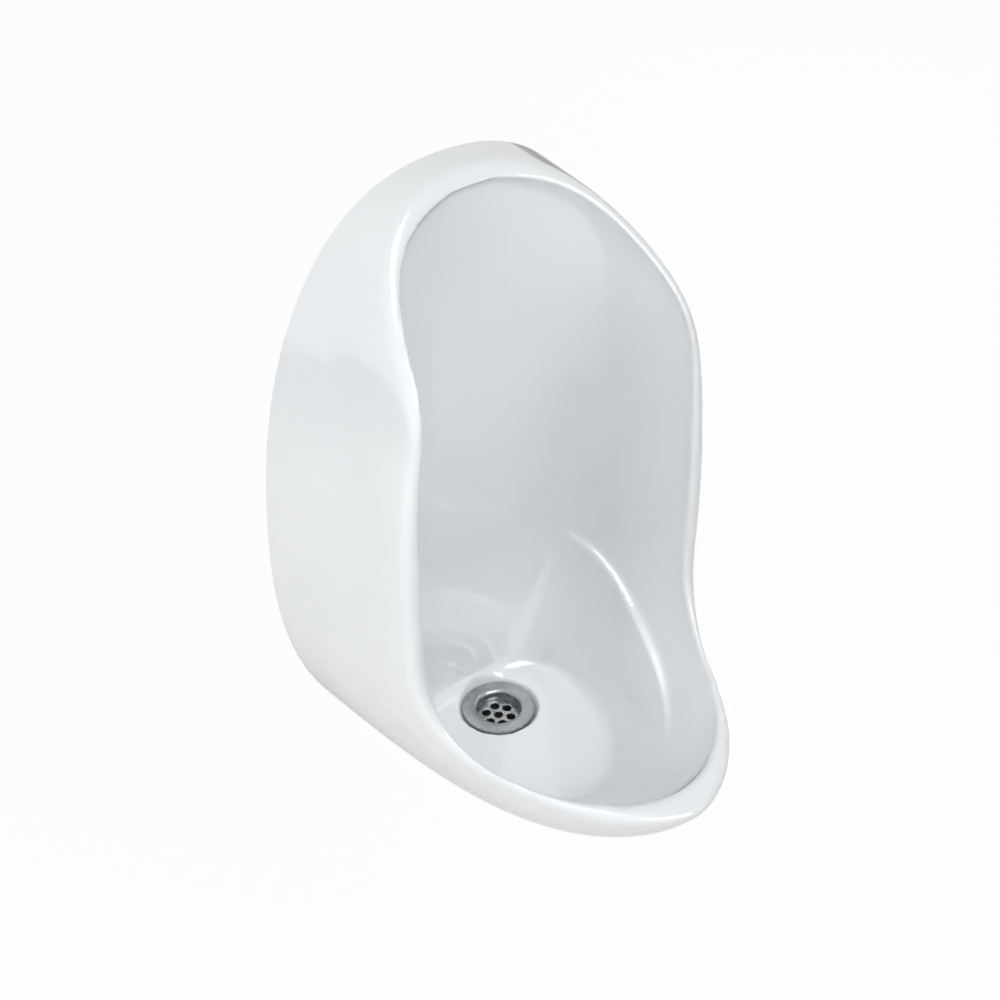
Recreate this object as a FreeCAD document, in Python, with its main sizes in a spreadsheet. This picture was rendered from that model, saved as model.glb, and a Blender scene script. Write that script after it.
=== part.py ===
import FreeCAD, Part
import Sketcher
import math
import os
import re

# A wall hung urinal: one glazed ceramic body, its waste fitting, and the steel hangers and
# screws that carry it on the wall.
# X runs to the right, +Z up, the wall is the plane Y = 0 and the body stands out to -Y.
# The origin is on the wall, at the middle of the four hanger screws.
# "drop" is a distance down from the top edge, "reach" is a distance out from the wall.

Vec = FreeCAD.Vector
doc = FreeCAD.newDocument("wall_hung_urinal")

# ---------------------------------------------------------------- driving dimensions
DIMENSIONS = [
    # ceramic body, outside
    ("body_width", 375, "widest, at the wall"),
    ("body_height", 605, "top edge to underside, at the wall"),
    ("body_reach", 370, "wall to the front of the lip"),
    ("widest_drop", 335, "where the body is widest"),
    ("fixing_drop", 150, "top edge to the middle of the hanger screws"),
    ("underside_rise", 141, "how much higher the lip's underside is than the body's"),
    ("nose_curl", 12, "how much the underside turns up at the very front"),
    # side profile of the open front
    ("hood_reach", 34, "rim at the very top"),
    ("upright_reach", 176, "rim along the sides"),
    ("hood_bend_drop", 112, "where the hood slope meets the upright"),
    ("hood_bend_radius", 80, "hood slope into upright"),
    ("lip_rise", 158, "top of the lip above the underside at the wall"),
    ("lip_bend_radius", 72, "upright into lip"),
    # ceramic thicknesses
    ("rim_width", 16, "rim at the sides"),
    ("rim_width_top", 13, "rim at the top"),
    ("rim_width_lip", 26, "rim at the front of the lip"),
    ("shell", 10, "cast wall"),
    # bowl
    ("back_reach", 38, "bowl's back wall"),
    ("floor_rise", 46, "bowl's floor above the underside at the wall"),
    ("floor_half_width", 80, "bowl's floor, half"),
    ("floor_reach", 218, "front of the bowl's floor"),
    ("floor_fillet", 16, "floor into walls"),
    ("ledge_inset", 17.875, "from the bowl's side to a ledge's edge at its middle"),
    ("ledge_widest_reach", 118, "where the ledges' edges are furthest apart"),
    ("ledge_fade", 4, "how far past the bowl's wall the lower bowl runs where the ledges end"),
    ("ledge_rear_reach", 30, "back end of the ledges' slope"),
    ("ledge_rear_rise", 73, "back end of the ledges' slope above the lip's top"),
    ("ledge_middle_reach", 122, "middle of the ledges' slope"),
    ("ledge_middle_fall", 9, "middle of the ledges' slope below the lip's top"),
    ("ledge_front_reach", 256, "front end of the ledges' slope"),
    ("ledge_front_fall", 66, "front end of the ledges' slope below the lip's top"),
    # waste
    ("waste_reach", 79, "wall to the waste's axis"),
    ("waste_hole_clearance", 2.1, "round the thread in the ceramic's hole, per side"),
    ("seat_clearance", 3, "round the flange in its recess, per side"),
    ("seat_depth", 6, "depth of that recess"),
    ("boss_wall", 17, "thick ceramic round the hole"),
    ("boss_height", 24, "bowl's floor to the boss's underside"),
    ("access_clearance", 19, "round the boss in the opening below it, per side"),
    ("flange_diameter", 70, "waste flange"),
    ("flange_thickness", 3, "waste flange"),
    ("top_seal_thickness", 2, "rubber under the flange"),
    ("flange_edge", 0.8, "fillet round the flange"),
    ("well_wall", 3.4, "round the well, above the grid"),
    ("well_mouth", 4, "fillet where the flange turns down into the well"),
    ("well_depth", 11, "flange top to grid"),
    ("tail_wall", 4.9, "of the threaded tail, with its thread"),
    ("thread_diameter", 47.8, "waste thread, outside"),
    ("tail_length", 80, "flange underside to the tail's end"),
    ("grid_thickness", 2, "strainer grid"),
    ("grid_hole", 8.5, "strainer holes"),
    ("grid_pitch", 12, "strainer hole spacing"),
    ("grid_clearance", 0.1, "round the grid in its well, per side"),
    ("grid_turn", 13, "degrees that the holes are turned from the X axis"),
    ("bottom_seal_thickness", 4, "rubber under the ceramic"),
    ("bottom_seal_width", 11.9, "rubber under the ceramic, hole to edge"),
    ("slip_washer_thickness", 1.5, "lets the backnut turn"),
    ("backnut_height", 12, "backnut"),
    ("backnut_wall", 6.9, "backnut, hole to flats"),
    ("backnut_chamfer", 1.2, "backnut, both faces"),
    # hangers and their screws
    ("hanger_spacing", 190, "between the two hangers' screws"),
    ("screw_spacing", 40, "between a hanger's two screws"),
    ("hanger_width", 60, "steel plate"),
    ("hanger_height", 70, "steel plate"),
    ("hanger_steel", 3, "steel plate"),
    ("hanger_shelf", 19, "wall to the front of the upturned lip"),
    ("hanger_lip", 12, "height of the upturned lip"),
    ("hanger_bend", 3, "inside radius of the hanger's bends"),
    ("rib_height", 15, "ceramic rib that hangs on the shelf"),
    ("rib_clearance", 1.5, "round the lip in the rib's slot"),
    ("hanger_hole_clearance", 0.5, "round the screws in the hangers, per side"),
    ("screw_diameter", 8, "hanger screws, over the thread"),
    ("screw_neck", 7, "hanger screws, under the head"),
    ("screw_length", 65, "hanger screws, past the wall face"),
    ("screw_head_flats", 13, "hexagon head"),
    ("screw_head_height", 5.5, "hexagon head"),
    ("washer_width", 3.8, "under the screw head, hole to edge"),
    ("washer_thickness", 1.6, "under the screw head"),
    ("running_clearance", 0.2, "round parts that slide together, per side"),
]
sheet = doc.addObject("Spreadsheet::Sheet", "dimensions")
sheet.Label = "driving dimensions"
for row, (alias, value, note) in enumerate(DIMENSIONS, start=1):
    sheet.set("A%d" % row, alias)
    sheet.set("B%d" % row, str(value))
    sheet.set("C%d" % row, note)
    sheet.setAlias("B%d" % row, alias)
doc.recompute()


def size(alias):
    """A driving dimension, in millimetres."""
    return float(getattr(sheet, alias))


def tied(text):
    """An expression with each dimension's name pointed at the sheet."""
    names = {alias for alias, _, _ in DIMENSIONS}
    return re.sub("[a-z_]+", lambda word: "dimensions." + word[0] if word[0] in names else word[0], text)


def bind(item, links):
    """Ties an object's properties to the sheet."""
    for name, text in links.items():
        item.setExpression(name, tied(text))
    return item


def place(item, x="0", y="0", z="0"):
    """Ties an object's position to the sheet."""
    return bind(item, {"Placement.Base.x": x, "Placement.Base.y": y, "Placement.Base.z": z})


def height(drop):
    """Height above the origin of a point that far below the top edge."""
    return size("fixing_drop") - drop


def form(name, shape):
    """A free-form solid, kept in the document under its name."""
    item = doc.addObject("Part::Feature", name)
    item.Shape = shape
    return item


def boolean(kind, name, base, tool):
    item = doc.addObject("Part::" + kind, name)
    item.Base = base
    item.Tool = tool
    return item


# Sizes that follow from others, as expressions.
FLOOR_DROP = "(body_height - floor_rise)"
LIP_DROP = "(body_height - lip_rise)"
HOLE = "(thread_diameter + 2 * waste_hole_clearance)"
BOSS = "(" + HOLE + " + 2 * boss_wall)"
WELL = "(thread_diameter - 2 * well_wall)"
TAIL_BORE = "(thread_diameter - 2 * tail_wall)"
THREAD_CLEAR = "(thread_diameter + 2 * running_clearance)"
BOTTOM_SEAL = "(" + THREAD_CLEAR + " + 2 * bottom_seal_width)"
BACKNUT_FLATS = "(" + THREAD_CLEAR + " + 2 * backnut_wall)"
SCREW_CLEAR = "(screw_diameter + 2 * running_clearance)"
HANGER_HOLE = "(screw_diameter + 2 * hanger_hole_clearance)"
SEAT_HEIGHT = "fixing_drop - " + FLOOR_DROP + " - seat_depth"
BOSS_BOTTOM = "fixing_drop - " + FLOOR_DROP + " - boss_height"


# ---------------------------------------------------------------- ceramic body: its free forms
HALF_POINTS = 12
floor_drop = size("body_height") - size("floor_rise")
lip_drop = size("body_height") - size("lip_rise")
bowl_side = size("body_width") / 2 * 0.81 - size("rim_width")


def skinned(rings):
    """A smooth solid drawn over rings of control points, with a flat face at each end."""
    around = len(rings[0])
    along = len(rings)
    poles = [list(line) for line in zip(*rings)]
    marks_around = [float(index) for index in range(around + 1)]
    marks_along = [float(index) for index in range(along - 2)]
    folds = [4] + [1] * (along - 4) + [4]
    surface = Part.BSplineSurface()
    surface.buildFromPolesMultsKnots(poles, [1] * (around + 1), folds, marks_around, marks_along,
                                     True, False, 3, 3)
    side = surface.toShape()
    ends = [Part.Face(Part.Wire([edge])) for edge in side.Edges if edge.isClosed()]
    shell = Part.makeShell([side] + ends)
    shell.sewShape()
    solid = Part.Solid(shell)
    if solid.Volume < 0:
        solid.reverse()
    return solid


def whole_ring(half):
    """Half a ring of control points (X >= 0) with its mirror image."""
    return half + [Vec(-p.x, p.y, p.z) for p in reversed(half[1:-1])]


def swell(squareness):
    """How far outside an oval its control points lie, so that the oval has its full size."""
    across = math.sin(math.pi / HALF_POINTS)
    along = math.cos(math.pi / HALF_POINTS)
    beside = along * (across ** squareness + along ** squareness) ** (-1 / squareness)
    return 3 / (2 + beside)


def rounded_half(half_width, first, middle, last, squareness_first, squareness_last):
    """Half of a closed oval: (x, along) pairs of control points from its first to its last.

    Each end is a superellipse; a squareness of 2 is an ellipse, more is boxier.
    """
    pairs = []
    for index in range(HALF_POINTS + 1):
        angle = math.pi * index / HALF_POINTS
        across = abs(math.sin(angle))
        along = abs(math.cos(angle))
        near = index * 2 <= HALF_POINTS
        power = squareness_first if near else squareness_last
        span = first - middle if near else last - middle
        radius = swell(power) * (across ** power + along ** power) ** (-1 / power)
        x = 0.0 if index in (0, HALF_POINTS) else half_width * radius * across
        pairs.append((x, middle + span * radius * along))
    return pairs


def outer_section(reach, inset):
    """The body's outline parallel to the wall, at that reach, inset all round."""
    front = size("body_reach") - inset
    mouth = size("upright_reach")
    half_width = (size("body_width") / 2 - inset) * (1 - (reach / front) ** 1.1) ** 0.36
    top = inset + 0.7 * size("widest_drop") * (reach / front) ** 6
    bottom = size("body_height") - inset - size("underside_rise") * (reach / front) ** 3
    bottom -= size("nose_curl") * (reach / front) ** 16
    squareness = 2.4 + 0.6 * min(reach / mouth, 1.0) ** 2
    pairs = rounded_half(half_width, top, size("widest_drop"), bottom, squareness, 2.2)
    return whole_ring([Vec(x, -reach, height(drop)) for x, drop in pairs])


def outer_form(inset):
    """The whole outside, before its front is opened."""
    front = size("body_reach") - inset
    count = 14
    shares = [index / count for index in range(count)] + [0.97]
    return skinned([outer_section(front * (1 - (1 - share) ** 3), inset) for share in shares])


def mouth_reach(drop):
    """Reach of the bowl's widest line."""
    open_top = 1 - (1 - min(1.0, drop / 170)) ** 2
    low = max(0.0, (drop - size("widest_drop")) / (floor_drop - size("widest_drop")))
    full = size("upright_reach") - 14
    return size("back_reach") + (full - size("back_reach")) * open_top - 57 * low ** 2


def bowl_section(drop, growth):
    """The bowl's outline at that drop, grown all round."""
    widest = size("widest_drop") - 35
    top = size("rim_width_top") - growth
    floor = floor_drop
    if drop < widest:
        share = (widest - drop) / (widest - top)
        half_width = bowl_side * (1 - min(share, 1.0) ** 3.2) ** (1 / 3.2)
    else:
        share = (drop - widest) / (floor - widest)
        half_width = bowl_side - (bowl_side - size("floor_half_width")) * share ** 3.4
    low = max(0.0, (drop - lip_drop) / (floor - lip_drop))
    lip = size("body_reach") - size("rim_width_lip")
    front = lip - (lip - size("floor_reach")) * low ** 1.4
    corner = 2.4 + 1.8 * (drop / floor) ** 3
    pairs = rounded_half(half_width + growth, size("back_reach") - growth, mouth_reach(drop),
                         front + growth, corner, 1.9)
    return whole_ring([Vec(x, -reach, height(drop)) for x, reach in pairs])


def bowl_form(growth):
    """The hollow that the user sees, or its outside when grown by the wall."""
    top = size("rim_width_top") - growth
    floor = floor_drop + growth
    count = 16
    sections = []
    for index in range(count + 1):
        share = (index + 0.25) / (count + 0.25)
        drop = top + (floor - top) * (1 - math.cos(math.pi * share)) / 2
        sections.append(bowl_section(drop, growth))
    return skinned(sections)


def arc_corner(before, corner, after, radius):
    """The tangent arc that rounds one corner, with its two ends."""
    back = (before - corner).normalize()
    ahead = (after - corner).normalize()
    half = back.getAngle(ahead) / 2
    start = corner + back * (radius / math.tan(half))
    end = corner + ahead * (radius / math.tan(half))
    centre = corner + (back + ahead).normalize() * (radius / math.sin(half))
    middle = centre + (corner - centre).normalize() * radius
    return Part.Arc(start, middle, end).toShape(), start, end


def side_profile(inset):
    """The side view of what stays behind the open front, as a solid right across."""
    reach = size("upright_reach") - inset
    lip = lip_drop + inset
    out = size("body_reach") + 60
    top = Vec(0, -(size("hood_reach") - inset), height(0))
    bend = Vec(0, -reach + 6, height(size("hood_bend_drop")))
    foot = Vec(0, -reach, height(lip - 6))
    far = Vec(0, -out, height(lip + 4))
    hood_arc, hood_start, hood_end = arc_corner(top, bend, foot, size("hood_bend_radius") - inset)
    lip_arc, lip_start, lip_end = arc_corner(bend, foot, far, size("lip_bend_radius") + inset)
    slope = (top - hood_start).normalize()
    above = top + slope * 40
    below = height(size("body_height") + 60)
    corners = [far, Vec(0, -out, below), Vec(0, 20, below), Vec(0, 20, above.z), above]
    edges = [Part.LineSegment(above, hood_start).toShape(), hood_arc,
             Part.LineSegment(hood_end, lip_start).toShape(), lip_arc,
             Part.LineSegment(lip_end, far).toShape()]
    for start, end in zip(corners[:-1], corners[1:]):
        edges.append(Part.LineSegment(start, end).toShape())
    face = Part.Face(Part.Wire(Part.__sortEdges__(edges)))
    half = size("body_width")
    face.translate(Vec(-half, 0, 0))
    return face.extrude(Vec(2 * half, 0, 0))


def lower_bowl_form():
    """The narrower hollow below the ledges. It runs into the bowl's wall at the back, front and floor."""
    floor = floor_drop
    back = size("back_reach") - size("ledge_fade")
    foot = size("floor_half_width") + size("ledge_fade")
    lip = size("body_reach") - size("rim_width_lip")
    edge = bowl_side - size("ledge_inset")
    start = lip_drop - size("ledge_rear_rise") - 60
    sections = []
    for step in range(9):
        drop = start + (floor + 35 - start) * step / 8
        low = max(0.0, (drop - lip_drop) / (floor - lip_drop))
        half_width = edge - (edge - foot) * low ** 1.6
        front = lip + 2 * size("ledge_fade") - (lip - size("floor_reach")) * low ** 1.4
        pairs = rounded_half(half_width, back, size("ledge_widest_reach"), front, 2.6, 1.9)
        sections.append(whole_ring([Vec(x, -reach, height(drop)) for x, reach in pairs]))
    return skinned(sections)


def ledge_blank():
    """A block right across the bowl, under the ledges' forward slope."""
    rear = size("ledge_rear_reach")
    middle = size("ledge_middle_reach")
    fore = size("ledge_front_reach")
    start = Vec(0, -rear, height(lip_drop - size("ledge_rear_rise")))
    end = Vec(0, -fore, height(lip_drop + size("ledge_front_fall")))
    slope = Part.Arc(start, Vec(0, -middle, height(lip_drop + size("ledge_middle_fall"))), end).toShape()
    low = height(floor_drop)
    corners = [end, Vec(0, end.y, low), Vec(0, start.y, low), start]
    edges = [slope]
    for first, second in zip(corners[:-1], corners[1:]):
        edges.append(Part.LineSegment(first, second).toShape())
    face = Part.Face(Part.Wire(Part.__sortEdges__(edges)))
    half = size("body_width") / 2
    face.translate(Vec(-half, 0, 0))
    return face.extrude(Vec(2 * half, 0, 0))


def box(name, length, width, tall, x, y, z):
    item = doc.addObject("Part::Box", name)
    bind(item, {"Length": length, "Width": width, "Height": tall})
    return place(item, x, y, z)


def cylinder(name, diameter, tall, x="0", y="0", z="0"):
    item = doc.addObject("Part::Cylinder", name)
    bind(item, {"Radius": "(" + diameter + ") / 2", "Height": tall})
    return place(item, x, y, z)


def fused(name, pieces):
    item = doc.addObject("Part::MultiFuse", name)
    item.Shapes = pieces
    return item


def rounded(name, base, radius, picks):
    """A fillet along the edges of base that picks accepts."""
    doc.recompute()
    item = doc.addObject("Part::Fillet", name)
    item.Base = base
    edges = [index for index, edge in enumerate(base.Shape.Edges, start=1) if picks(edge)]
    item.Edges = [(index, radius, radius) for index in edges]
    return item


def level(edge, z):
    """True for an edge that lies in the level plane at z."""
    return abs(edge.BoundBox.ZMax - z) < 0.05 and edge.BoundBox.ZLength < 0.05


# The seen hollow: the bowl, less the ledges, with its floor rounded into its walls.
bowl = form("bowl_form", bowl_form(0.0))
floor_level = height(floor_drop)
bowl_rounded = rounded("bowl_rounded", bowl, size("floor_fillet"), lambda edge: level(edge, floor_level))
blank = form("ledge_blank", ledge_blank())
lower_bowl = form("lower_bowl", lower_bowl_form())
ledges = boolean("Cut", "ledges", blank, lower_bowl)
bowl_hollow = boolean("Cut", "bowl_hollow", bowl_rounded, ledges)

# The outside, opened along its side profile.
outside = form("outside_form", outer_form(0.0))
profile = form("side_profile", side_profile(0.0))
opened = boolean("Common", "opened_form", outside, profile)
walls = boolean("Cut", "solid_walls", opened, bowl_hollow)

# The unseen hollow that casting leaves behind the bowl. It is open at the wall.
# The rib that hangs on the hangers and the boss round the waste stay solid.
inside = form("cast_inside", outer_form(size("shell")))
inside_profile = form("cast_profile", side_profile(size("shell")))
bowl_outside = form("bowl_outside", bowl_form(size("shell")))
cast_blank = boolean("Common", "cast_blank", inside, inside_profile)
rib = box("hanging_rib", "body_width", "back_reach - hanger_steel - rib_clearance", "rib_height",
          "-body_width / 2", "-back_reach", "hanger_height / 2")
boss = cylinder("waste_boss", BOSS, "boss_height", "0", "-waste_reach", BOSS_BOTTOM)
kept = fused("kept_ceramic", [bowl_outside, rib, boss])
cast_hollow = boolean("Cut", "cast_hollow", cast_blank, kept)
hollowed = boolean("Cut", "hollowed_body", walls, cast_hollow)

# Cuts: the hangers' slots in the rib, the waste's hole and seat, and the way to its backnut.
slots = []
for side, sign in (("left", "-"), ("right", "")):
    centre = sign + "hanger_spacing / 2"
    slots.append(box("rib_slot_" + side, "hanger_width + 4 * rib_clearance",
                     "hanger_steel + hanger_bend + 2 * rib_clearance", "rib_height * 2",
                     centre + " - hanger_width / 2 - 2 * rib_clearance",
                     "-hanger_shelf - rib_clearance", "hanger_height / 2 - rib_height / 2"))
hole = cylinder("waste_hole_cut", HOLE, "boss_height + 36", "0", "-waste_reach", BOSS_BOTTOM + " - 20")
seat = cylinder("waste_seat_cut", "flange_diameter + 2 * seat_clearance", "40", "0", "-waste_reach",
                SEAT_HEIGHT)
UNDER_BOSS = "(floor_rise - boss_height + 78)"
access = cylinder("access_cut", BOSS + " + 2 * access_clearance", UNDER_BOSS, "0", "-waste_reach",
                  BOSS_BOTTOM + " - " + UNDER_BOSS)
cuts = fused("body_cuts", slots + [hole, seat, access])
body = boolean("Cut", "ceramic_body", hollowed, cuts)


# ---------------------------------------------------------------- small parts: helpers
def new_body(name):
    return doc.addObject("PartDesign::Body", name)


def datum(body_item, role):
    """One of a body's own origin planes or axes."""
    return [item for item in body_item.Origin.OriginFeatures if item.Role == role][0]


def sketch_on(body_item, name, role):
    item = body_item.newObject("Sketcher::SketchObject", name)
    item.AttachmentSupport = [(datum(body_item, role), "")]
    item.MapMode = "FlatFace"
    return item


def fix_distance(sketch, kind, geometry, point, text, start):
    """One coordinate of a sketch point, tied to the sheet."""
    number = sketch.addConstraint(Sketcher.Constraint(kind, -1, 1, geometry, point, start))
    sketch.setExpression("Constraints[%d]" % number, tied(text))


def outline(sketch, corners):
    """A closed outline of straight lines; each corner is an (across, up) pair of expressions."""
    count = len(corners)
    turns = [2 * math.pi * index / count for index in range(count)]
    starts = [Vec(50 * math.cos(turn), 50 * math.sin(turn), 0) for turn in turns]
    for index, start in enumerate(starts):
        sketch.addGeometry(Part.LineSegment(start, starts[(index + 1) % count]))
    for index in range(count):
        sketch.addConstraint(Sketcher.Constraint("Coincident", index, 2, (index + 1) % count, 1))
    for index, (across, up) in enumerate(corners):
        fix_distance(sketch, "DistanceX", index, 1, across, starts[index].x)
        fix_distance(sketch, "DistanceY", index, 1, up, starts[index].y)


def circle(sketch, diameter, across, up):
    """A circle tied to the sheet."""
    start = Vec(1.0 + sketch.GeometryCount, 1.0, 0)
    index = sketch.addGeometry(Part.Circle(start, Vec(0, 0, 1), 1))
    number = sketch.addConstraint(Sketcher.Constraint("Diameter", index, 2.0))
    sketch.setExpression("Constraints[%d]" % number, tied(diameter))
    fix_distance(sketch, "DistanceX", index, 3, across, start.x)
    fix_distance(sketch, "DistanceY", index, 3, up, start.y)


def dressed(body_item, kind, name, amount, picks):
    """A fillet or chamfer on the edges of the body's last feature that picks accepts."""
    doc.recompute()
    base = body_item.Tip
    names = ["Edge%d" % index for index, edge in enumerate(base.Shape.Edges, start=1) if picks(edge)]
    item = body_item.newObject("PartDesign::" + kind, name)
    item.Base = (base, names)
    return bind(item, {"Radius" if kind == "Fillet" else "Size": amount})


def round_edge(edge, radius, z):
    """True for a level circle of that radius at that height."""
    return level(edge, z) and abs(edge.BoundBox.XLength - 2 * radius) < 0.05


def tube(name, outer, inner, tall, y="0", z="0"):
    """A flat ring or a sleeve, its axis upright."""
    item = boolean("Cut", name, cylinder(name + "_blank", outer, tall),
                   cylinder(name + "_bore", inner, tall))
    return place(item, "0", y, z)


def facing_wall(item, x, y, z):
    """Turns a piece whose axis is upright so that it points out of the wall, and places it."""
    item.Placement = FreeCAD.Placement(Vec(0, 0, 0), FreeCAD.Rotation(Vec(1, 0, 0), 90))
    return place(item, x, y, z)


def gathered(name, pieces):
    """Identical fasteners, kept together as one sub-part."""
    item = doc.addObject("Part::Compound", name)
    item.Links = pieces
    return item


# ---------------------------------------------------------------- waste fitting
# Every piece sits on the waste's axis; its own zero height is its top or bottom face.
WASTE_Y = "-waste_reach"
FLANGE_TOP = SEAT_HEIGHT + " + top_seal_thickness + flange_thickness"

# The brass body: a flange that turns down into a well, and a long threaded tail.
waste_body = new_body("waste_body")
waste_section = sketch_on(waste_body, "waste_section", "XZ_Plane")
WELL_FLOOR = "-well_depth - grid_thickness"
TAIL_END = "-flange_thickness - tail_length"
outline(waste_section, [
    (WELL + " / 2", "0"),
    ("flange_diameter / 2", "0"),
    ("flange_diameter / 2", "-flange_thickness"),
    ("thread_diameter / 2", "-flange_thickness"),
    ("thread_diameter / 2", TAIL_END),
    (TAIL_BORE + " / 2", TAIL_END),
    (TAIL_BORE + " / 2", WELL_FLOOR),
    (WELL + " / 2", WELL_FLOOR),
])
turned = waste_body.newObject("PartDesign::Revolution", "waste_turned")
turned.Profile = waste_section
turned.ReferenceAxis = (waste_section, ["V_Axis"])
turned.Angle = 360
dressed(waste_body, "Fillet", "waste_well_mouth", "well_mouth",
        lambda edge: round_edge(edge, size("thread_diameter") / 2 - size("well_wall"), 0))
dressed(waste_body, "Fillet", "waste_flange_edge", "flange_edge",
        lambda edge: round_edge(edge, size("flange_diameter") / 2, 0))
place(waste_body, "0", WASTE_Y, FLANGE_TOP)

# The strainer grid: a disc with one hole in the middle and six round it.
waste_grid = new_body("waste_grid")
grid_outline = sketch_on(waste_grid, "grid_outline", "XY_Plane")
circle(grid_outline, WELL + " - 2 * grid_clearance", "0", "0")
grid_disc = waste_grid.newObject("PartDesign::Pad", "grid_disc")
grid_disc.Profile = grid_outline
bind(grid_disc, {"Length": "grid_thickness"})
grid_middle = sketch_on(waste_grid, "grid_middle_circle", "XY_Plane")
circle(grid_middle, "grid_hole", "0", "0")
grid_side = sketch_on(waste_grid, "grid_side_circle", "XY_Plane")
circle(grid_side, "grid_hole", "grid_pitch", "0")
side_hole = None
for hole_name, hole_sketch in (("grid_middle_hole", grid_middle), ("grid_side_hole", grid_side)):
    side_hole = waste_grid.newObject("PartDesign::Pocket", hole_name)
    side_hole.Profile = hole_sketch
    side_hole.Type = "ThroughAll"
    side_hole.Midplane = True
ring_of_holes = waste_grid.newObject("PartDesign::PolarPattern", "grid_ring_of_holes")
ring_of_holes.Originals = [side_hole]
ring_of_holes.Axis = (datum(waste_grid, "Z_Axis"), [""])
ring_of_holes.Angle = 360
ring_of_holes.Occurrences = 6
waste_grid.Tip = ring_of_holes
waste_grid.Placement = FreeCAD.Placement(Vec(0, 0, 0), FreeCAD.Rotation(Vec(0, 0, 1), size("grid_turn")))
place(waste_grid, "0", WASTE_Y, FLANGE_TOP + " - well_depth - grid_thickness")

# Rubber seals above and below the ceramic, and the slip washer.
waste_top_seal = tube("waste_top_seal", "flange_diameter", THREAD_CLEAR, "top_seal_thickness", WASTE_Y,
                      SEAT_HEIGHT)
waste_bottom_seal = tube("waste_bottom_seal", BOTTOM_SEAL, THREAD_CLEAR,
                         "bottom_seal_thickness", WASTE_Y, BOSS_BOTTOM + " - bottom_seal_thickness")
SLIP_BOTTOM = BOSS_BOTTOM + " - bottom_seal_thickness - slip_washer_thickness"
waste_slip_washer = tube("waste_slip_washer", BOTTOM_SEAL, THREAD_CLEAR,
                         "slip_washer_thickness", WASTE_Y, SLIP_BOTTOM)

# The backnut: a hexagon that clamps the fitting from below.
waste_backnut = new_body("waste_backnut")
nut_outline = sketch_on(waste_backnut, "nut_outline", "XY_Plane")
outline(nut_outline, [
    (BACKNUT_FLATS + " / sqrt(3)", "0"),
    (BACKNUT_FLATS + " / sqrt(12)", BACKNUT_FLATS + " / 2"),
    ("-" + BACKNUT_FLATS + " / sqrt(12)", BACKNUT_FLATS + " / 2"),
    ("-" + BACKNUT_FLATS + " / sqrt(3)", "0"),
    ("-" + BACKNUT_FLATS + " / sqrt(12)", "-" + BACKNUT_FLATS + " / 2"),
    (BACKNUT_FLATS + " / sqrt(12)", "-" + BACKNUT_FLATS + " / 2"),
])
circle(nut_outline, THREAD_CLEAR, "0", "0")
nut_blank = waste_backnut.newObject("PartDesign::Pad", "nut_blank")
nut_blank.Profile = nut_outline
bind(nut_blank, {"Length": "backnut_height"})
dressed(waste_backnut, "Chamfer", "nut_corners", "backnut_chamfer",
        lambda edge: edge.BoundBox.ZLength < 0.05 and edge.Curve.TypeId == "Part::GeomLine")
place(waste_backnut, "0", WASTE_Y, SLIP_BOTTOM + " - backnut_height")


# ---------------------------------------------------------------- hangers
def hanger(name, side):
    """A steel plate bent into a shelf and an upturned lip, with its two screw holes."""
    item = new_body(name)
    bends = sketch_on(item, name + "_section", "YZ_Plane")
    outline(bends, [
        ("0", "-hanger_height / 2"),
        ("0", "hanger_height / 2"),
        ("-hanger_shelf + hanger_steel", "hanger_height / 2"),
        ("-hanger_shelf + hanger_steel", "hanger_height / 2 + hanger_lip"),
        ("-hanger_shelf", "hanger_height / 2 + hanger_lip"),
        ("-hanger_shelf", "hanger_height / 2 - hanger_steel"),
        ("-hanger_steel", "hanger_height / 2 - hanger_steel"),
        ("-hanger_steel", "-hanger_height / 2"),
    ])
    plate = item.newObject("PartDesign::Pad", name + "_plate")
    plate.Profile = bends
    plate.Midplane = True
    bind(plate, {"Length": "hanger_width"})
    doc.recompute()
    shelf_top = size("hanger_height") / 2
    shelf_under = shelf_top - size("hanger_steel")
    inner = [(-size("hanger_steel"), shelf_under), (size("hanger_steel") - size("hanger_shelf"), shelf_top)]
    outer = [(0.0, shelf_top), (-size("hanger_shelf"), shelf_under)]
    for suffix, amount, places in (("_inner_bends", "hanger_bend", inner),
                                   ("_outer_bends", "hanger_bend + hanger_steel", outer)):
        dressed(item, "Fillet", name + suffix, amount,
                lambda edge: edge.BoundBox.XLength > 1 and edge.BoundBox.DiagonalLength < 1 +
                edge.BoundBox.XLength and any(
                    math.hypot(edge.BoundBox.Center.y - y, edge.BoundBox.Center.z - z) < 0.05
                    for y, z in places))
    holes = sketch_on(item, name + "_hole_circles", "XZ_Plane")
    circle(holes, HANGER_HOLE, "0", "screw_spacing / 2")
    circle(holes, HANGER_HOLE, "0", "-screw_spacing / 2")
    drilled = item.newObject("PartDesign::Pocket", name + "_holes")
    drilled.Profile = holes
    drilled.Type = "ThroughAll"
    drilled.Midplane = True
    return place(item, side + "hanger_spacing / 2")


hangers = [hanger("hanger_left", "-"), hanger("hanger_right", "")]


# ---------------------------------------------------------------- hanger screws
# Each is made with its axis upright and its zero at the wall face, then turned to face out.
def screw(name):
    """A hexagon headed screw: head, neck, thread and point."""
    head = doc.addObject("Part::Prism", name + "_head")
    head.Polygon = 6
    bind(head, {"Circumradius": "screw_head_flats / sqrt(3)", "Height": "screw_head_height"})
    place(head, "0", "0", "hanger_steel + washer_thickness")
    neck = cylinder(name + "_neck", "screw_neck", "hanger_steel + washer_thickness")
    thread = cylinder(name + "_thread", "screw_diameter", "screw_length - screw_diameter",
                      "0", "0", "screw_diameter - screw_length")
    point = doc.addObject("Part::Cone", name + "_point")
    bind(point, {"Radius1": "screw_diameter / 10", "Radius2": "screw_diameter / 2",
                 "Height": "screw_diameter"})
    place(point, "0", "0", "-screw_length")
    return fused(name, [head, neck, thread, point])


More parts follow.
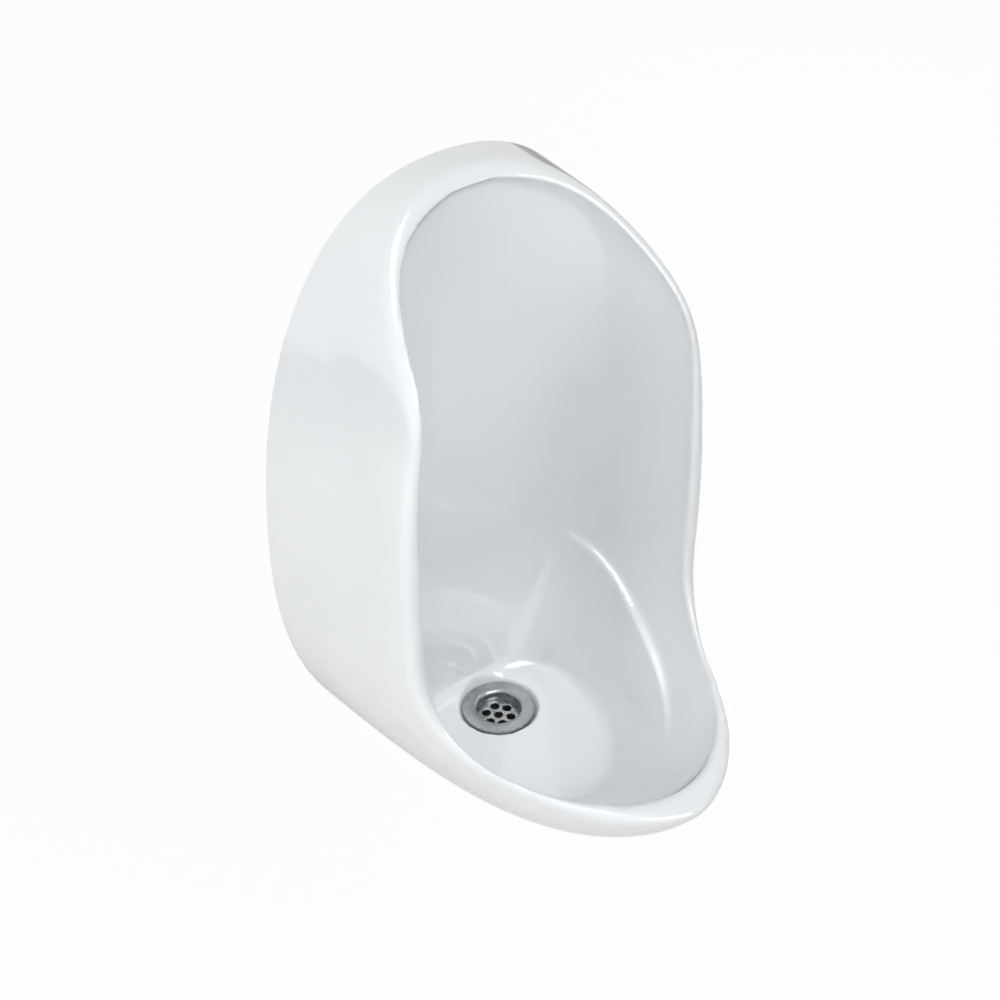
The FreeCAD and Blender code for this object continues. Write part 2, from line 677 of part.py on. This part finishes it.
screws = []
washers = []
for side, sign in (("left", "-"), ("right", "")):
    for row, below in (("upper", ""), ("lower", "-")):
        x = sign + "hanger_spacing / 2"
        z = below + "screw_spacing / 2"
        suffix = "_" + side + "_" + row
        screws.append(facing_wall(screw("screw" + suffix), x, "0", z))
        washer = tube("washer" + suffix, SCREW_CLEAR + " + 2 * washer_width", SCREW_CLEAR,
                      "washer_thickness")
        washers.append(facing_wall(washer, x, "-hanger_steel", z))
hanger_screws = gathered("hanger_screws", screws)
hanger_washers = gathered("hanger_washers", washers)

# ---------------------------------------------------------------- checks, then the files
SUB_PARTS = [body, waste_body, waste_grid, waste_top_seal, waste_bottom_seal, waste_slip_washer,
             waste_backnut, *hangers, hanger_screws, hanger_washers]
doc.recompute()
for item in doc.Objects:
    if "Invalid" in item.State or "Error" in item.State:
        raise SystemExit(item.Name + " could not be built")
for item in SUB_PARTS:
    if item.Shape.isNull() or not item.Shape.isValid() or item.Shape.Volume <= 0:
        raise SystemExit(item.Label + " has no sound shape")
os.makedirs("parts", exist_ok=True)
for item in SUB_PARTS:
    item.Shape.exportStep("parts/" + item.Label + ".step")
    print("%-20s %2d solids %10.0f mm3" % (item.Label, len(item.Shape.Solids), item.Shape.Volume))
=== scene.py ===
import math

import bpy
import numpy as np
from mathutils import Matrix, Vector


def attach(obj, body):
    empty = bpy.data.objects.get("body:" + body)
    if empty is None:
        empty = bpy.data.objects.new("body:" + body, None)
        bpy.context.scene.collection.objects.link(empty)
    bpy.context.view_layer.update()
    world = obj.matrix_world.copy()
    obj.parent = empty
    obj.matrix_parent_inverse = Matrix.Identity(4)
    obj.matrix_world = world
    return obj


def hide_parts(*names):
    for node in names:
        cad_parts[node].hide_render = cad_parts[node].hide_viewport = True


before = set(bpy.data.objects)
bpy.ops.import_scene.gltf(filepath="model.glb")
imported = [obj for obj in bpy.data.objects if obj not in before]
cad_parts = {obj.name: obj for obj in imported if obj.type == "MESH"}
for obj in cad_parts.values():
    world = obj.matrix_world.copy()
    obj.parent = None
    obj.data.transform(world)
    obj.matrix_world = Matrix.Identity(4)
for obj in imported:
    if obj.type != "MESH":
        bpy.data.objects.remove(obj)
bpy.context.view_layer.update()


# ---------------------------------------------------------------- the room
# A pale studio: a floor below the wall hung piece, soft lamps and the photograph's viewpoint.
# Nothing of this is part of the object.
FLOOR_HEIGHT = -0.95
FLOOR_WIDTH = 14
FLOOR_COLOUR = (0.90, 0.90, 0.90, 1.0)
FLOOR_WHITENING = 0.94
SKY_LIGHT = 0.21
SKY_MIRRORED = 0.75


class Signal:
    """A value in a material, so that sums of values are written as plain expressions."""

    def __init__(self, tree, socket=None):
        self.tree = tree
        self.socket = socket

    def node(self, kind, settings, inputs, output=0):
        """A node of that kind: its settings first, then what its sockets take."""
        made = self.tree.nodes.new("ShaderNode" + kind)
        for name, value in settings.items():
            setattr(made, name, value)
        for name, value in inputs.items():
            if isinstance(value, Signal):
                self.tree.links.new(value.socket, made.inputs[name])
            else:
                made.inputs[name].default_value = value
        return Signal(self.tree, made.outputs[output])

    def sum_with(self, operation, first, second):
        return self.node("Math", {"operation": operation}, {0: first, 1: second})

    def __add__(self, other):
        return self.sum_with("ADD", self, other)

    def __sub__(self, other):
        return self.sum_with("SUBTRACT", self, other)

    def __rsub__(self, other):
        return self.sum_with("SUBTRACT", other, self)

    def __mul__(self, other):
        return self.sum_with("MULTIPLY", self, other)

    __radd__ = __add__
    __rmul__ = __mul__

    def blend(self, low, high):
        """A colour between two, as this value goes from 0 to 1."""
        return self.node("Mix", {"data_type": "RGBA"}, {0: self, 6: low, 7: high}, 2)

    def stretch(self, from_low, from_high, to_low, to_high):
        """This value's range stretched over another, and held at its ends."""
        return self.node("MapRange", {}, {0: self, 1: from_low, 2: from_high, 3: to_low, 4: to_high})


def new_material(name):
    """An empty material: its tree, and where its surface goes."""
    material = bpy.data.materials.new(name)
    material.use_nodes = True
    tree = material.node_tree
    tree.nodes.clear()
    output = tree.nodes.new("ShaderNodeOutputMaterial")
    return material, Signal(tree), output.inputs["Surface"]


def noise(start, scale, detail=2.0, stretch=(1.0, 1.0, 1.0)):
    """Soft random values over the object's own coordinates, scale in turns a metre."""
    place = start.node("TexCoord", {}, {}, "Object")
    mapped = start.node("Mapping", {}, {"Vector": place, "Scale": stretch})
    return start.node("TexNoise", {}, {"Vector": mapped, "Scale": scale, "Detail": detail})


def surface(start, goal, **inputs):
    """The shader that all the object's materials end in."""
    sockets = {name.replace("_", " "): value for name, value in inputs.items()}
    shader = start.node("BsdfPrincipled", {}, sockets)
    start.tree.links.new(shader.socket, goal)
    return shader


def bump(start, height, strength, distance):
    return start.node("Bump", {}, {"Height": height, "Strength": strength, "Distance": distance})


def aim(item, target):
    """Turns a lamp or the camera to look at a point."""
    item.rotation_euler = (Vector(target) - item.location).to_track_quat("-Z", "Y").to_euler()


bpy.ops.mesh.primitive_plane_add(size=FLOOR_WIDTH, location=(0, 0, FLOOR_HEIGHT))
floor = bpy.context.object
floor.name = "studio_floor"
material, start, goal = new_material("studio_floor")
seen = start.node("LightPath", {}, {}, "Is Camera Ray")
plain = start.node("BsdfPrincipled", {}, {"Base Color": FLOOR_COLOUR, "Roughness": 0.7})
white = start.node("Emission", {}, {"Color": (1, 1, 1, 1), "Strength": 1.0})
mixed = start.node("MixShader", {}, {0: seen * FLOOR_WHITENING, 1: plain, 2: white})
start.tree.links.new(mixed.socket, goal)
floor.data.materials.append(material)

world = bpy.data.worlds.new("studio")
bpy.context.scene.world = world
world.use_nodes = True
sky = Signal(world.node_tree)
backing = world.node_tree.nodes["Background"]
camera_ray = sky.node("LightPath", {}, {}, "Is Camera Ray")
glossy_ray = sky.node("LightPath", {}, {}, "Is Glossy Ray")
strength = camera_ray * (1 - SKY_LIGHT) + glossy_ray * (SKY_MIRRORED - SKY_LIGHT) + SKY_LIGHT
world.node_tree.links.new(strength.socket, backing.inputs["Strength"])
backing.inputs["Color"].default_value = (1, 1, 1, 1)

LAMPS = (
    # name, place, width, watts, aimed at, mirrored in the glaze
    ("side_lamp", (-2.6, -0.4, 0.5), 2.2, 41, (0, -0.1, -0.15), False),
    ("top_lamp", (-0.5, 0.0, 2.3), 1.2, 10, (0, -0.12, -0.2), True),
    ("front_lamp", (0.1, -2.2, 2.0), 2.0, 56, (0, -0.10, -0.15), True),
    ("back_lamp", (2.3, 1.6, 0.7), 1.5, 20, (0, 0, -0.15), False),
)
for name, place, width, watts, target, mirrored in LAMPS:
    lamp = bpy.data.objects.new(name, bpy.data.lights.new(name, "AREA"))
    lamp.data.size = width
    lamp.data.energy = watts
    lamp.location = place
    lamp.visible_glossy = mirrored
    bpy.context.scene.collection.objects.link(lamp)
    aim(lamp, target)

VIEW_SIDE = math.radians(-35.0)
VIEW_HEIGHT = math.radians(38.38)
VIEW_DISTANCE = 1.6
VIEW_LENS = 70.15
LOOKED_AT = Vector((-0.0481, -0.150, -0.0903))
bpy.ops.object.camera_add()
camera = bpy.context.object
camera.data.sensor_width = 36
camera.data.lens = VIEW_LENS
camera.location = LOOKED_AT + VIEW_DISTANCE * Vector((
    math.sin(VIEW_SIDE) * math.cos(VIEW_HEIGHT),
    -math.cos(VIEW_SIDE) * math.cos(VIEW_HEIGHT),
    math.sin(VIEW_HEIGHT)))
aim(camera, LOOKED_AT)
bpy.context.scene.camera = camera
bpy.context.scene.view_settings.view_transform = "Standard"


# ---------------------------------------------------------------- ceramic body
# One casting of vitreous china, dipped in a thick white glaze that rounds every edge.
# It hangs by a rib behind the bowl, and its rim and lip are sponged round before firing.
GRAIN = 0.0023          # between the points of the glazed skin
DOUBLED = 1e-6          # points this near each other are one
WALL_FACE = 1e-4        # faces this near the wall rest on it
WALL_SPARE = 0.010      # cut off again at the wall
EVEN_PASSES = 6         # smoothing of the whole skin
RIM_PASSES = 64         # smoothing of the rim alone
RIM_REACH = 0.017
RIM_FADE = 0.012
ROLL_REACH = 0.010
ROLL_FADE = 0.070
INNER_ROLL = 0.006
OUTER_ROLL = 0.0025
SHARE_KEPT = 0.36       # of the skin's triangles, once it is smooth
GLAZE_CREASE = 50       # degrees; a sharper fold stays an edge
BOWL_MIDDLE = (0.0, -0.20, -0.18)
FACING = 4              # how fast a share grows as the skin turns towards that middle
# The rim's line seen from the side, as (y, z) corners.
SIDE_PROFILE = ((-0.030, 0.154), (-0.168, 0.040), (-0.176, -0.270), (-0.205, -0.292), (-0.40, -0.301))


def only(*items):
    """Selects these objects alone, the last one active."""
    bpy.ops.object.select_all(action="DESELECT")
    for item in items:
        item.select_set(True)
        bpy.context.view_layer.objects.active = item


def copy_of(node, name):
    """A CAD node's mesh as a new piece, with its doubled points merged."""
    item = bpy.data.objects.new(name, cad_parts[node].data.copy())
    bpy.context.scene.collection.objects.link(item)
    item.data.materials.clear()
    only(item)
    bpy.ops.object.mode_set(mode="EDIT")
    bpy.ops.mesh.select_all(action="SELECT")
    bpy.ops.mesh.remove_doubles(threshold=DOUBLED)
    bpy.ops.object.mode_set(mode="OBJECT")
    return item


def applied(item, kind, **settings):
    """Adds a modifier to an object and applies it."""
    modifier = item.modifiers.new(kind.lower(), kind)
    for name, value in settings.items():
        setattr(modifier, name, value)
    only(item)
    bpy.ops.object.modifier_apply(modifier=modifier.name)


def select_faces(item, wanted):
    """Goes into edit mode with only the faces selected that the test picks."""
    only(item)
    bpy.ops.object.mode_set(mode="EDIT")
    bpy.ops.mesh.select_mode(type="FACE")
    bpy.ops.mesh.select_all(action="DESELECT")
    bpy.ops.object.mode_set(mode="OBJECT")
    for polygon in item.data.polygons:
        polygon.select = wanted(polygon)
    bpy.ops.object.mode_set(mode="EDIT")


def line_distances(points, corners):
    """How far each (y, z) point is from a bent line."""
    best = np.full(len(points), 1e9)
    for first, last in zip(corners[:-1], corners[1:]):
        along = np.subtract(last, first)
        share = np.clip((points - first) @ along / (along @ along), 0, 1)
        best = np.minimum(best, np.linalg.norm(points - first - share[:, None] * along, axis=1))
    return best


# The back edge is lengthened into the wall and cut off after the smoothing, so that it stays crisp.
glazed_body = copy_of("ceramic_body", "glazed_body")
select_faces(glazed_body, lambda polygon: polygon.normal.y > 0.99 and polygon.center.y > -WALL_FACE)
bpy.ops.mesh.extrude_region_move(TRANSFORM_OT_translate={"value": (0, WALL_SPARE, 0)})
bpy.ops.object.mode_set(mode="OBJECT")
applied(glazed_body, "REMESH", mode="VOXEL", voxel_size=GRAIN, adaptivity=0.0)

# Near the rim's line the bowl's side is set back and the outer side brought out, less with depth.
positions, normals = (np.zeros(len(glazed_body.data.vertices) * 3) for _ in range(2))
glazed_body.data.vertices.foreach_get("co", positions)
glazed_body.data.vertices.foreach_get("normal", normals)
positions, normals = positions.reshape(-1, 3), normals.reshape(-1, 3)
depths = line_distances(positions[:, 1:], SIDE_PROFILE)
inwards = np.subtract(BOWL_MIDDLE, positions)
inwards = (inwards * normals).sum(axis=1) / np.linalg.norm(inwards, axis=1)
upright = np.clip(1 + normals[:, 1], 0, 1) * np.clip(1 - normals[:, 2], 0, 1)
roll_share = np.clip(1 - (depths - ROLL_REACH) / ROLL_FADE, 0, 1)
roll_share = roll_share * roll_share * (3 - 2 * roll_share)


def grouped(item, name, shares):
    """A vertex group that holds each point by its share."""
    group = item.vertex_groups.new(name=name)
    for index in np.nonzero(shares > 0)[0]:
        group.add([int(index)], float(shares[index]), "REPLACE")


grouped(glazed_body, "rim", np.clip(1 - (depths - RIM_REACH) / RIM_FADE, 0, 1))
grouped(glazed_body, "inner_roll", roll_share * upright * np.clip(FACING * inwards, 0, 1))
grouped(glazed_body, "outer_roll", roll_share * np.abs(normals[:, 0]) * np.clip(-FACING * inwards, 0, 1))
applied(glazed_body, "DISPLACE", strength=-INNER_ROLL, mid_level=0.0, vertex_group="inner_roll")
applied(glazed_body, "DISPLACE", strength=OUTER_ROLL, mid_level=0.0, vertex_group="outer_roll")
applied(glazed_body, "SMOOTH", factor=0.5, iterations=EVEN_PASSES)
applied(glazed_body, "SMOOTH", factor=0.5, iterations=RIM_PASSES, vertex_group="rim")
applied(glazed_body, "DECIMATE", ratio=SHARE_KEPT)
bpy.ops.object.mode_set(mode="EDIT")
bpy.ops.mesh.select_all(action="SELECT")
bpy.ops.mesh.bisect(plane_co=(0, 0, 0), plane_no=(0, 1, 0), use_fill=True, clear_outer=True)
bpy.ops.object.mode_set(mode="OBJECT")
bpy.ops.object.shade_smooth_by_angle(angle=math.radians(GLAZE_CREASE))

material, start, goal = new_material("white_glaze")
pooling = noise(start, 5.0, 3.0)
ripple = noise(start, 26.0, 2.0)
pinholes = noise(start, 900.0, 1.0)
tone = pooling.stretch(0.35, 0.65, 0, 1).blend((0.772, 0.795, 0.810, 1), (0.802, 0.822, 0.836, 1))
surface(start, goal, Base_Color=tone, Roughness=pooling.stretch(0.3, 0.7, 0.07, 0.12),
        IOR=1.52, Coat_Weight=1.0, Coat_Roughness=0.08, Coat_IOR=1.5,
        Normal=bump(start, ripple + pinholes * 0.02, 0.35, 0.0008))
glazed_body.data.materials.append(material)
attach(glazed_body, "root")
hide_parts("ceramic_body")


# ---------------------------------------------------------------- waste body
# Chromed brass, turned in one piece: a flat flange that rolls down into a well, and a long tail
# with a parallel pipe thread. The flange has a satin finish; the bore's near-black colour is partly tarnish
# and partly painted shade.
WASTE_PLACE = (0.0, -0.079, -0.410)     # the middle of the flange's top
WELL_RADIUS = 0.0205
MOUTH_RADIUS = 0.004
FLANGE_RADIUS = 0.035
TAIL_CORE = 0.0226
TAIL_CREST = 0.0239
TAIL_BORE = 0.019
PIPE_PITCH = 0.00231


def bent_line(name, points, place):
    """Starts a piece as a line of edges through (radius, height) points, seen from its own place."""
    bpy.ops.object.select_all(action="DESELECT")
    bpy.ops.mesh.primitive_plane_add(size=0.01, location=place)
    item = bpy.context.object
    item.name = name
    item.data.name = name
    bpy.ops.object.mode_set(mode="EDIT")
    bpy.ops.mesh.select_mode(type="VERT")
    bpy.ops.mesh.merge(type="CENTER")
    bpy.ops.transform.translate(value=(points[0][0], 0, points[0][1]))
    for before, after in zip(points[:-1], points[1:]):
        step = (after[0] - before[0], 0, after[1] - before[1])
        bpy.ops.mesh.extrude_vertices_move(TRANSFORM_OT_translate={"value": step})
    bpy.ops.object.mode_set(mode="OBJECT")
    return item


def tidied(item):
    """Merges doubled points and turns every face outwards."""
    only(item)
    bpy.ops.object.mode_set(mode="EDIT")
    bpy.ops.mesh.select_all(action="SELECT")
    bpy.ops.mesh.remove_doubles(threshold=2e-6)
    bpy.ops.mesh.normals_make_consistent(inside=False)
    bpy.ops.object.mode_set(mode="OBJECT")
    return item


def turned(name, points, place, steps=96):
    """A piece turned on a lathe: the outline spun round its upright axis."""
    item = bent_line(name, points, place)
    bpy.ops.object.mode_set(mode="EDIT")
    bpy.ops.mesh.select_all(action="SELECT")
    bpy.ops.mesh.spin(steps=steps, angle=math.tau, center=place, axis=(0, 0, 1))
    bpy.ops.object.mode_set(mode="OBJECT")
    return tidied(item)


def thread_ridge(name, core, crest, pitch, top, bottom, place, steps=64):
    """The ridge of a screw thread, closed at both ends; its foot lies inside the core."""
    foot = core - 0.0003
    outline = [(foot, bottom), (crest, bottom + 0.36 * pitch), (crest, bottom + 0.5 * pitch),
               (foot, bottom + 0.86 * pitch), (foot, bottom)]
    item = tidied(bent_line(name, outline, place))
    turns = int((top - bottom) / pitch - 0.9)
    applied(item, "SCREW", axis="Z", screw_offset=pitch, iterations=turns, steps=steps,
            render_steps=steps, use_merge_vertices=False)
    bpy.ops.object.mode_set(mode="EDIT")
    bpy.ops.mesh.select_mode(type="EDGE")
    bpy.ops.mesh.select_all(action="DESELECT")
    bpy.ops.mesh.select_non_manifold()
    bpy.ops.mesh.fill()
    bpy.ops.object.mode_set(mode="OBJECT")
    return tidied(item)


def smoothed(item, angle=35):
    only(item)
    bpy.ops.object.shade_smooth_by_angle(angle=math.radians(angle))


def settled(item, *slot_and_nodes):
    """Puts a piece's place into its mesh, smooths it, hangs it under the root and hides the CAD nodes it
    stands for; the first name, for its finish, is not used.
    """
    only(item)
    bpy.ops.object.transform_apply(location=True, rotation=True, scale=True)
    smoothed(item)
    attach(item, "root")
    if slot_and_nodes[1:]:
        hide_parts(*slot_and_nodes[1:])


mouth = [(WELL_RADIUS + MOUTH_RADIUS * (1 - math.cos(turn)), -MOUTH_RADIUS * (1 - math.sin(turn)))
         for turn in (math.radians(angle) for angle in range(0, 91, 15))]
waste_outline = [(WELL_RADIUS, -0.013)] + mouth + [
    (FLANGE_RADIUS - 0.0012, -0.0003), (FLANGE_RADIUS - 0.0004, -0.0006), (FLANGE_RADIUS, -0.0013),
    (FLANGE_RADIUS, -0.0028), (FLANGE_RADIUS - 0.0002, -0.003), (TAIL_CREST, -0.003),
    (TAIL_CREST, -0.0060), (TAIL_CORE, -0.0068), (TAIL_CORE, -0.0818), (TAIL_CORE - 0.0008, -0.083),
    (TAIL_BORE + 0.0004, -0.083), (TAIL_BORE, -0.0826), (TAIL_BORE, -0.013), (WELL_RADIUS, -0.013)]
waste_fitting = turned("waste_fitting", waste_outline, WASTE_PLACE)
waste_thread = thread_ridge("waste_thread", TAIL_CORE, TAIL_CREST, PIPE_PITCH, -0.0068, -0.0815, WASTE_PLACE)


def lathe_marks(start, place, scale):
    """Fine rings round an upright axis."""
    spot = start.node("TexCoord", {}, {}, "Object")
    centred = start.node("Mapping", {}, {"Vector": spot, "Location": (-place[0], -place[1], -place[2])})
    return start.node("TexWave", {"wave_type": "RINGS", "rings_direction": "Z"},
                      {"Vector": centred, "Scale": scale, "Distortion": 0.6, "Detail": 2.0})


material, start, goal = new_material("satin_chrome")
marks = lathe_marks(start, WASTE_PLACE, 330.0)
spots = noise(start, 90.0, 4.0)
scale_marks = noise(start, 1100.0, 2.0)
worn = spots.stretch(0.35, 0.7, 0, 1)
surface(start, goal, Base_Color=worn.blend((0.35, 0.36, 0.37, 1), (0.32, 0.33, 0.335, 1)), Metallic=1.0,
        Roughness=worn * 0.05 + scale_marks * 0.04 + 0.24,
        Normal=bump(start, marks + spots * 0.5, 0.12, 0.0002))
satin_chrome = material

# The bore's near-black colour: some real tarnish, mostly painted shade for the dark hollow.
material, start, goal = new_material("tarnish_and_shade_bore")
film = noise(start, 160.0, 5.0)
brown = film.stretch(0.3, 0.7, 0, 1)
surface(start, goal, Base_Color=brown.blend((0.012, 0.012, 0.011, 1), (0.045, 0.040, 0.034, 1)),
        Metallic=0.0, Roughness=film * 0.3 + 0.5, Normal=bump(start, film, 0.5, 0.0004))
tarnish_and_shade_bore = material

waste_fitting.data.materials.append(satin_chrome)
waste_fitting.data.materials.append(tarnish_and_shade_bore)
# Faces inside the bore take the near-black material, which is painted shade over some real tarnish.
for polygon in waste_fitting.data.polygons:
    across = math.hypot(polygon.center.x, polygon.center.y)
    polygon.material_index = int(across < WELL_RADIUS and polygon.center.z < -0.0125)
waste_thread.data.materials.append(satin_chrome)
settled(waste_fitting, "waste_metal", "waste_body")
settled(waste_thread, "waste_metal", "waste_body")


# ---------------------------------------------------------------- strainer grid
# A chromed brass disc pressed into the well, with one hole in the middle and six round it.
# The punch draws each hole's edge down, so it is rounded.
def eased(node, name, width, segments=3):
    """A CAD node's shape as a new piece with its sharp edges rounded."""
    item = copy_of(node, name)
    bpy.ops.object.mode_set(mode="EDIT")
    bpy.ops.mesh.select_all(action="SELECT")
    bpy.ops.mesh.dissolve_limited(angle_limit=math.radians(1.0))
    bpy.ops.object.mode_set(mode="OBJECT")
    applied(item, "BEVEL", width=width, segments=segments, limit_method="ANGLE",
            angle_limit=math.radians(38), harden_normals=False)
    return item


strainer = eased("waste_grid", "strainer", 0.00045)
material, start, goal = new_material("strainer_chrome")
spots = noise(start, 240.0, 4.0)
streaks = noise(start, 700.0, 2.0, (1.0, 0.08, 1.0))
dull = spots.stretch(0.35, 0.65, 0, 1)
surface(start, goal, Base_Color=dull.blend((0.42, 0.43, 0.44, 1), (0.30, 0.31, 0.31, 1)), Metallic=1.0,
        Roughness=dull * 0.12 + 0.22, Normal=bump(start, spots + streaks * 0.4, 0.15, 0.0002))
strainer.data.materials.append(material)
settled(strainer, "waste_metal_grid", "waste_grid")


# ---------------------------------------------------------------- rubber seals and slip washer
# Black moulded rubber under the flange and under the ceramic, and a natural nylon washer that
# lets the backnut turn without dragging the rubber round.
def finished(node, material):
    """Gives a CAD node its material."""
    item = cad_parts[node]
    item.data.materials.clear()
    item.data.materials.append(material)


material, start, goal = new_material("black_rubber")
grain = noise(start, 2600.0, 3.0)
bloom = noise(start, 70.0, 3.0)
dusty = bloom.stretch(0.35, 0.7, 0, 1)
surface(start, goal, Base_Color=dusty.blend((0.017, 0.017, 0.018, 1), (0.050, 0.049, 0.047, 1)),
        Roughness=bloom * 0.25 + 0.48, Normal=bump(start, grain, 0.3, 0.0002))
finished("waste_top_seal", material)
finished("waste_bottom_seal", material)

material, start, goal = new_material("natural_nylon")
cloud = noise(start, 120.0, 3.0)
marks = lathe_marks(start, WASTE_PLACE, 260.0)
pale = cloud.stretch(0.3, 0.7, 0, 1)
surface(start, goal, Base_Color=pale.blend((0.74, 0.73, 0.68, 1), (0.80, 0.79, 0.75, 1)),
        Roughness=cloud * 0.2 + 0.35, Subsurface_Weight=0.1, Normal=bump(start, marks, 0.15, 0.0002))
finished("waste_slip_washer", material)


# ---------------------------------------------------------------- backnut
# A plain brass hexagon nut, sawn from drawn bar and faced on a lathe, that clamps the waste from
# below. Its faces have turned rings and its flats the bar's long drawing lines.
backnut = eased("waste_backnut", "backnut", 0.0004)
material, start, goal = new_material("plain_brass")
rings = lathe_marks(start, WASTE_PLACE, 420.0)
tarnish = noise(start, 60.0, 5.0)
drawn = noise(start, 500.0, 2.0, (1.0, 1.0, 0.04))
old = tarnish.stretch(0.38, 0.66, 0, 1)
surface(start, goal, Base_Color=old.blend((0.70, 0.53, 0.27, 1), (0.46, 0.33, 0.16, 1)), Metallic=1.0,
        Roughness=old * 0.2 + drawn * 0.08 + 0.2, Normal=bump(start, rings * 0.5 + drawn, 0.15, 0.0003))
backnut.data.materials.append(material)
settled(backnut, "backnut_metal", "waste_backnut")


# ---------------------------------------------------------------- hangers
# Two plates cut from 3 mm steel strip, bent up to a shelf and a lip that go under and into the
# ceramic's rib. They are zinc plated after bending, which leaves a cloudy satin skin.
material, start, goal = new_material("zinc_plate")
cloud = noise(start, 45.0, 5.0)
grain = noise(start, 900.0, 2.0, (0.08, 1.0, 1.0))
spot = start.node("TexCoord", {}, {}, "Object")
flecks = start.node("TexVoronoi", {}, {"Vector": spot, "Scale": 160.0}, "Distance")
dull = cloud.stretch(0.35, 0.68, 0, 1)
surface(start, goal, Base_Color=dull.blend((0.66, 0.68, 0.70, 1), (0.52, 0.54, 0.56, 1)), Metallic=1.0,
        Roughness=dull * 0.18 + flecks * 0.1 + 0.30, Normal=bump(start, grain + flecks * 0.6, 0.18, 0.0003))
zinc_plate = material
for node in ("hanger_left", "hanger_right"):
    hanger = eased(node, node + "_plate", 0.0005)
    hanger.data.materials.append(zinc_plate)
    settled(hanger, "hanger_steel", node)


# ---------------------------------------------------------------- hanger screws and washers
# Hexagon headed wood screws, cold headed and thread rolled, with a sharp point, zinc plated.
# They go through plain washers and the hangers into plugs in the wall.
HEAD_RADIUS = 0.00751
HEAD_FOOT = 0.0046
HEAD_TOP = 0.0101
HEAD_CROWN = 0.0008
NECK_RADIUS = 0.0035
SCREW_CORE = 0.0029
SCREW_CREST = 0.0040
SCREW_PITCH = 0.0034
SCREW_ACROSS = 0.095
SCREW_UP = 0.020
HERE = (0.0, 0.0, 0.0)

bpy.ops.object.select_all(action="DESELECT")
bpy.ops.mesh.primitive_cylinder_add(vertices=6, radius=HEAD_RADIUS, depth=HEAD_TOP - HEAD_FOOT - HEAD_CROWN,
                                    location=(0, 0, (HEAD_TOP + HEAD_FOOT - HEAD_CROWN) / 2))
screw_head = bpy.context.object
bpy.ops.object.transform_apply(location=True)
select_faces(screw_head, lambda polygon: polygon.normal.z > 0.9)
bpy.ops.mesh.inset(thickness=0.0011)
bpy.ops.transform.translate(value=(0, 0, HEAD_CROWN))
bpy.ops.object.mode_set(mode="OBJECT")
applied(screw_head, "BEVEL", width=0.0004, segments=3, limit_method="ANGLE", angle_limit=math.radians(20))
screw_shank = turned("screw_shank", [
    (0, 0.0050), (NECK_RADIUS, 0.0050), (NECK_RADIUS, 0.0002), (SCREW_CORE, -0.0012),
    (SCREW_CORE, -0.0560), (0.0016, -0.0615), (0.0002, -0.0650), (0, -0.0650)], HERE, 48)
screw_ridge = thread_ridge("screw_ridge", SCREW_CORE, SCREW_CREST, SCREW_PITCH, -0.0010, -0.0560, HERE, 40)
only(screw_ridge, screw_shank, screw_head)
bpy.ops.object.join()
screw_head.data.materials.clear()
screw_head.data.materials.append(zinc_plate)
corners = [(across, up) for across in (-SCREW_ACROSS, SCREW_ACROSS) for up in (SCREW_UP, -SCREW_UP)]
for number, (across, up) in enumerate(corners, start=1):
    screw = screw_head.copy()
    screw.data = screw_head.data.copy()
    screw.name = "wall_screw_%d" % number
    bpy.context.scene.collection.objects.link(screw)
    screw.rotation_euler = (math.radians(90), 0, 0)
    screw.location = (across, 0, up)
    settled(screw, "screw_steel", "hanger_screws")
bpy.data.objects.remove(screw_head)
washers = eased("hanger_washers", "plain_washers", 0.0003, 2)
washers.data.materials.append(zinc_plate)
settled(washers, "screw_steel", "hanger_washers")
